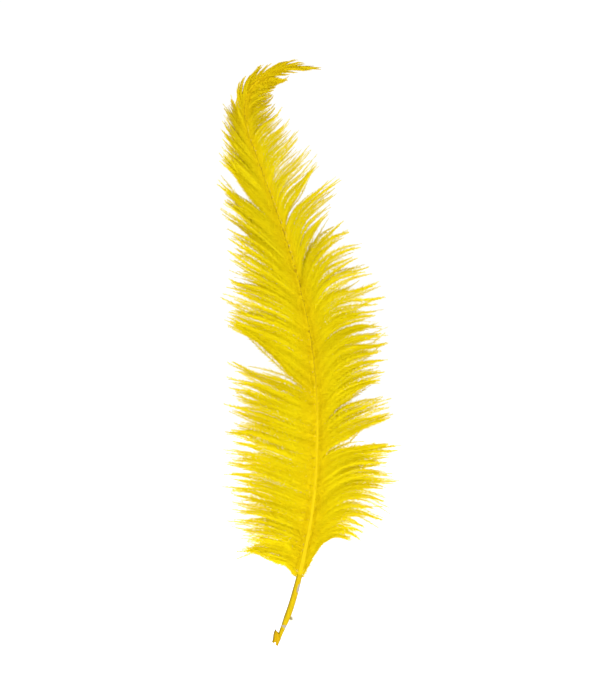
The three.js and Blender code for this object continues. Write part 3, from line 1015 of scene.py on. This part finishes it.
points, faces = capped(tube_rings(steps(quill_end, middles[0], SHAFT_STEP)))
piece = make_piece("shaft_1", points, faces, HORN, "quill")
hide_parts("shaft_cortex_1")
shaft_stops = middles + [SHAFT_LENGTH - MM]
for k in range(LAST + 1):
    points, faces = capped(tube_rings(steps(shaft_stops[k], shaft_stops[k + 1], SHAFT_STEP)))
    body = "shaft_tip" if k == LAST else None
    piece = make_piece(f"shaft_{k + 2}", points, faces, HORN, body)
    if k < LAST:
        centre = JOINT_AT[JOINT_ORDER[k]]
        _, _, ahead, _ = shaft_at(nearest_on_shaft(centre))
        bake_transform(piece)
    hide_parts(f"shaft_cortex_{k + 1}")

# The quill is a real tube. Its dye is scraped off in a band near the cut end and in a
# patch near the vanes.
BAND_AT, BAND_LENGTH = 14.5 * MM, 3.6 * MM
PATCH_AT, PATCH_LENGTH = 47 * MM, 8 * MM
PATCH_SIDE = (0.1, 0.6)  # the patch is on the right, between these cosines of the turn
BAND_FADE, BAND_TURN = 0.25, 0.6  # how much fainter the band is on one side, and which
# Cosines of the turn between which the painted shade at the quill's sides begins, and how strong
# it is.
LEFT_EDGE, LEFT_STRENGTH = (0.3, 0.9), 0.9
RIGHT_EDGE, RIGHT_STRENGTH = (0.6, 0.97), 0.54


def scraped(at, turn):
    """How bare the horn is, at a distance along it and around it."""
    band = np.exp(-(((at - BAND_AT) / BAND_LENGTH * 2) ** 2))
    band = band * (1.0 - BAND_FADE + BAND_FADE * np.cos(turn + BAND_TURN))
    patch = np.exp(-(((at - PATCH_AT) / PATCH_LENGTH * 2) ** 2))
    patch = patch * smooth_share(*PATCH_SIDE, np.cos(turn))
    return np.maximum(band, patch)


def painted_edge_shade(turn):
    """Painted shade on the quill's left side, and a little on its right, where the round horn
    turns away from the light.
    """
    left = LEFT_STRENGTH * smooth_share(*LEFT_EDGE, -np.cos(turn))
    right = RIGHT_STRENGTH * smooth_share(*RIGHT_EDGE, np.cos(turn))
    return np.maximum(left, right)


at = steps(0.0, quill_end, QUILL_STEP)
outer, inner = tube_rings(at), tube_rings(at, QUILL_WALL)
points = np.concatenate(outer + inner[::-1])
bare = [scraped(a, TURN_ANGLES) for a in at]
bare = np.concatenate(bare + [np.zeros(SHAFT_SIDES)] * len(inner))
faces = ring_faces(2 * len(at), SHAFT_SIDES, closed=True)
# Painted shade at the quill's sides.
edge = np.tile(painted_edge_shade(TURN_ANGLES), 2 * len(at))
piece = make_piece(
    "quill_horn", points, faces, QUILL, "quill", {"bare": bare, "edge": edge}
)
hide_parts("calamus_tube")


# ---------------- torn sheath

SHEATH_SIDES = 96
SHEATH_ROWS = 22
SHEATH_SKIN = 0.32 * MM
SHEATH_ANGLES = np.linspace(0.0, 2 * math.pi, SHEATH_SIDES, endpoint=False)
RIM_HEIGHT, RIM_SLANT = 6.4 * MM, 3.2 * MM  # of the upper rim, which is higher on the left
FOOT_HEIGHT, FOOT_SLANT = 0.5 * MM, 0.7 * MM  # of the lower rim
SPLIT_HEIGHT, SPLIT_WIDTH, SPLIT_SHIFT = 2.4 * MM, 0.42, 0.05
# Waves around the rims and the skin: size in millimetres, number and shift.
RIM_WAVES = ((0.7, 3, 1), (0.35, 11, 0))
FOOT_WAVES = ((0.18, 17, 0),)
WRINKLES, WRINKLE_TWIST = ((0.07, 21), (0.05, 34)), (3, 0)
SHEATH_RADIUS = 2.28 * MM
DOWN_FROM, DOWN_MOST = 9 * MM, 1.3  # the cuff leans, widens and flattens below this height
BULGE = 0.25  # millimetres
WIDER, DEEP, FLATTER = 0.06, 0.98, 0.22
LEAN, MORE_LEAN = 0.15, 0.95  # millimetres to the left, at the height and further down
FLARE = 2.7 * MM  # how far the upper rim stands off on the left
FLARE_FROM, FLARE_TO, FLARE_SIDE = -1 * MM, 8 * MM, 0.7
THIN_RIM, THIN_RIM_FROM = 0.8, 0.88  # of the skin is gone at the upper rim, and from where
THIN_FOOT, THIN_FOOT_TO = 0.5, 0.12  # and at the lower rim
below_quill = np.linalg.norm(line_points[0])  # from the cut end to the first ring


def ragged(turn, waves):
    return sum(size * np.sin(number * turn + shift) for size, number, shift in waves) * MM


def torn_sheath():
    """A cuff that hangs off the quill's left side, split by a V at its lower rim."""
    turn = SHEATH_ANGLES
    right = np.cos(turn)
    upper = RIM_HEIGHT - RIM_SLANT * right + ragged(turn, RIM_WAVES)
    split = np.maximum(0.0, 1.0 - np.abs(right + SPLIT_SHIFT) / SPLIT_WIDTH)
    lower = FOOT_HEIGHT - FOOT_SLANT * right + SPLIT_HEIGHT * split - below_quill
    lower = lower + ragged(turn, FOOT_WAVES)
    foot, _, ahead, across = (v[0] for v in shaft_at(np.array([0.0])))
    front = np.cross(ahead, across)
    layers = []
    for inset in (0.0, SHEATH_SKIN):
        rows = []
        for k in range(SHEATH_ROWS):
            share = k / (SHEATH_ROWS - 1)
            at = lower + (upper - lower) * share
            down = np.clip(1.0 - at / DOWN_FROM, 0.0, DOWN_MOST)
            waves = [(*wave, twist * share) for wave, twist in zip(WRINKLES, WRINKLE_TWIST)]
            rim = 1.0 - THIN_RIM * smooth_share(THIN_RIM_FROM, 1.0, share)
            rim = rim - THIN_FOOT * smooth_share(THIN_FOOT_TO, 0.0, share)
            radius = SHEATH_RADIUS + BULGE * MM * down + ragged(turn, waves) - inset * rim
            wide = radius * (1.0 + WIDER * down)
            deep = radius * (DEEP - FLATTER * down)
            flare = FLARE * smooth_share(FLARE_FROM, FLARE_TO, at)
            flare = flare * smooth_share(0.0, FLARE_SIDE, -right)
            shift = -(LEAN + MORE_LEAN * down) * MM - flare
            rows.append(
                foot
                + ahead * at[:, None]
                + across * (wide * right + shift)[:, None]
                + front * (deep * np.sin(turn))[:, None]
            )
        layers.append(rows)
    rings = layers[0] + layers[1][::-1]
    return np.concatenate(rings), ring_faces(len(rings), SHEATH_SIDES, closed=True)


points, faces = torn_sheath()
# Painted shade at the sheath's sides.
edge = np.tile(painted_edge_shade(SHEATH_ANGLES), 2 * SHEATH_ROWS)
piece = make_piece("torn_sheath", points, faces, SHEATH, "quill", {"edge": edge})
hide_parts("sheath_stub")


# ---------------- bit of down, pith

DOWN_BARBS = 80
DOWN_SHIFT = np.array([2.0, 0.0, 6.5]) * MM  # from the middle of its solid
DOWN_POINTS = 10
DOWN_REACH = (0.8, 1.8)  # in radii of its solid
DOWN_BOW, DOWN_ROOTS = 0.5 * MM, 0.25 * MM  # spreads
DOWN_BARBULE, DOWN_WIDTH = 0.55 * MM, 0.12 * MM
DOWN_SEED = 77


def down_lines(rng):
    """Hairs that start together on the quill's side and end around the bit's middle."""
    low, high = (np.array(corner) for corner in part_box("down_bit"))
    centre, radius = (low + high) / 2 + DOWN_SHIFT, (high[0] - low[0]) / 2
    foot, shaft_radius, _, across = shaft_at(nearest_on_shaft(centre))
    base = foot + across * shaft_radius
    share = np.linspace(0.0, 1.0, DOWN_POINTS)[:, None]
    lines = []
    for _ in range(DOWN_BARBS):
        towards = rng.normal(0.0, 1.0, 3)
        end = centre + unit(towards) * radius * rng.uniform(*DOWN_REACH)
        bow = rng.normal(0.0, DOWN_BOW, 3)
        start = base + rng.normal(0.0, DOWN_ROOTS, 3)
        lines.append(start + (end - start) * share + bow * np.sin(math.pi * share))
    return lines


rng = np.random.default_rng(DOWN_SEED)
lines = down_lines(rng)
tints = rng.uniform(0.0, 1.0, len(lines))
points, faces, attributes, uv = barb_strips(lines, tints, rng, DOWN_BARBULE, DOWN_WIDTH)
piece = make_piece("down_tuft", points, faces, DOWN, "quill", attributes, uv)
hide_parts("down_bit")

for name in ("pulp_caps", "shaft_pith_1", "shaft_pith_2"):
    frame["nodes"][name].data.materials.clear()
    frame["nodes"][name].data.materials.append(PITH)


# ---------------- floor, light, camera

SKY, SKY_SEEN = 0.7, 0.34  # the world's light, and how much brighter it is to look at
FLOOR_SIZE, FLOOR_GAP, FLOOR_GLOW = 12.0, 0.03, 0.7  # the gap is below the plume

world = bpy.data.worlds.new("studio")
bpy.context.scene.world = world
world.use_nodes = True
tree = world.node_tree
background = tree.nodes["Background"]
background.inputs["Color"].default_value = WHITE
seen = new_node(tree, "ShaderNodeLightPath").outputs["Is Camera Ray"]
sky = calculate(tree, "MULTIPLY_ADD", seen, SKY_SEEN, SKY)
tree.links.new(sky, background.inputs["Strength"])


def area_light(name, place, target, size, power):
    data = bpy.data.lights.new(name, "AREA")
    data.shape = "DISK"
    data.size = size
    data.energy = power
    lamp = bpy.data.objects.new(name, data)
    lamp.location = place
    facing = Vector(target) - Vector(place)
    lamp.rotation_euler = facing.to_track_quat("-Z", "Y").to_euler()
    bpy.context.scene.collection.objects.link(lamp)


middle = (cad_low + cad_high) / 2
area_light("key", place=(0.9, -1.2, 1.1), target=middle, size=0.7, power=5.0)
area_light("fill", place=(-1.1, -0.9, 0.4), target=middle, size=1.0, power=4.0)
area_light("top", place=(0.0, 0.6, 1.4), target=middle, size=1.0, power=4.0)

bpy.ops.mesh.primitive_plane_add(size=FLOOR_SIZE, location=(0, 0, cad_low[2] - FLOOR_GAP))
floor = bpy.context.object
floor.name = "floor"
floor_material, floor_shader = dull_material(
    "floor", speckle, linear(252, 252, 252), linear(248, 248, 248)
)
floor_shader.inputs["Emission Color"].default_value = WHITE
floor_shader.inputs["Emission Strength"].default_value = FLOOR_GLOW
floor.data.materials.append(floor_material)

CAMERA_DISTANCE = 2.0
FRAME_HEIGHT = 0.56
SENSOR = 36.0
AIM_X, AIM_Z = 0.0212, 0.236  # the middle of the frame, in metres
camera_data = bpy.data.cameras.new("camera")
camera_data.sensor_width = SENSOR
camera_data.lens = SENSOR * CAMERA_DISTANCE / FRAME_HEIGHT
camera_data.clip_end = 50.0
camera = bpy.data.objects.new("camera", camera_data)
camera.location = (AIM_X, -CAMERA_DISTANCE, AIM_Z)
camera.rotation_euler = (math.pi / 2, 0.0, 0.0)
bpy.context.scene.collection.objects.link(camera)
bpy.context.scene.camera = camera
bpy.context.scene.view_settings.view_transform = "Standard"
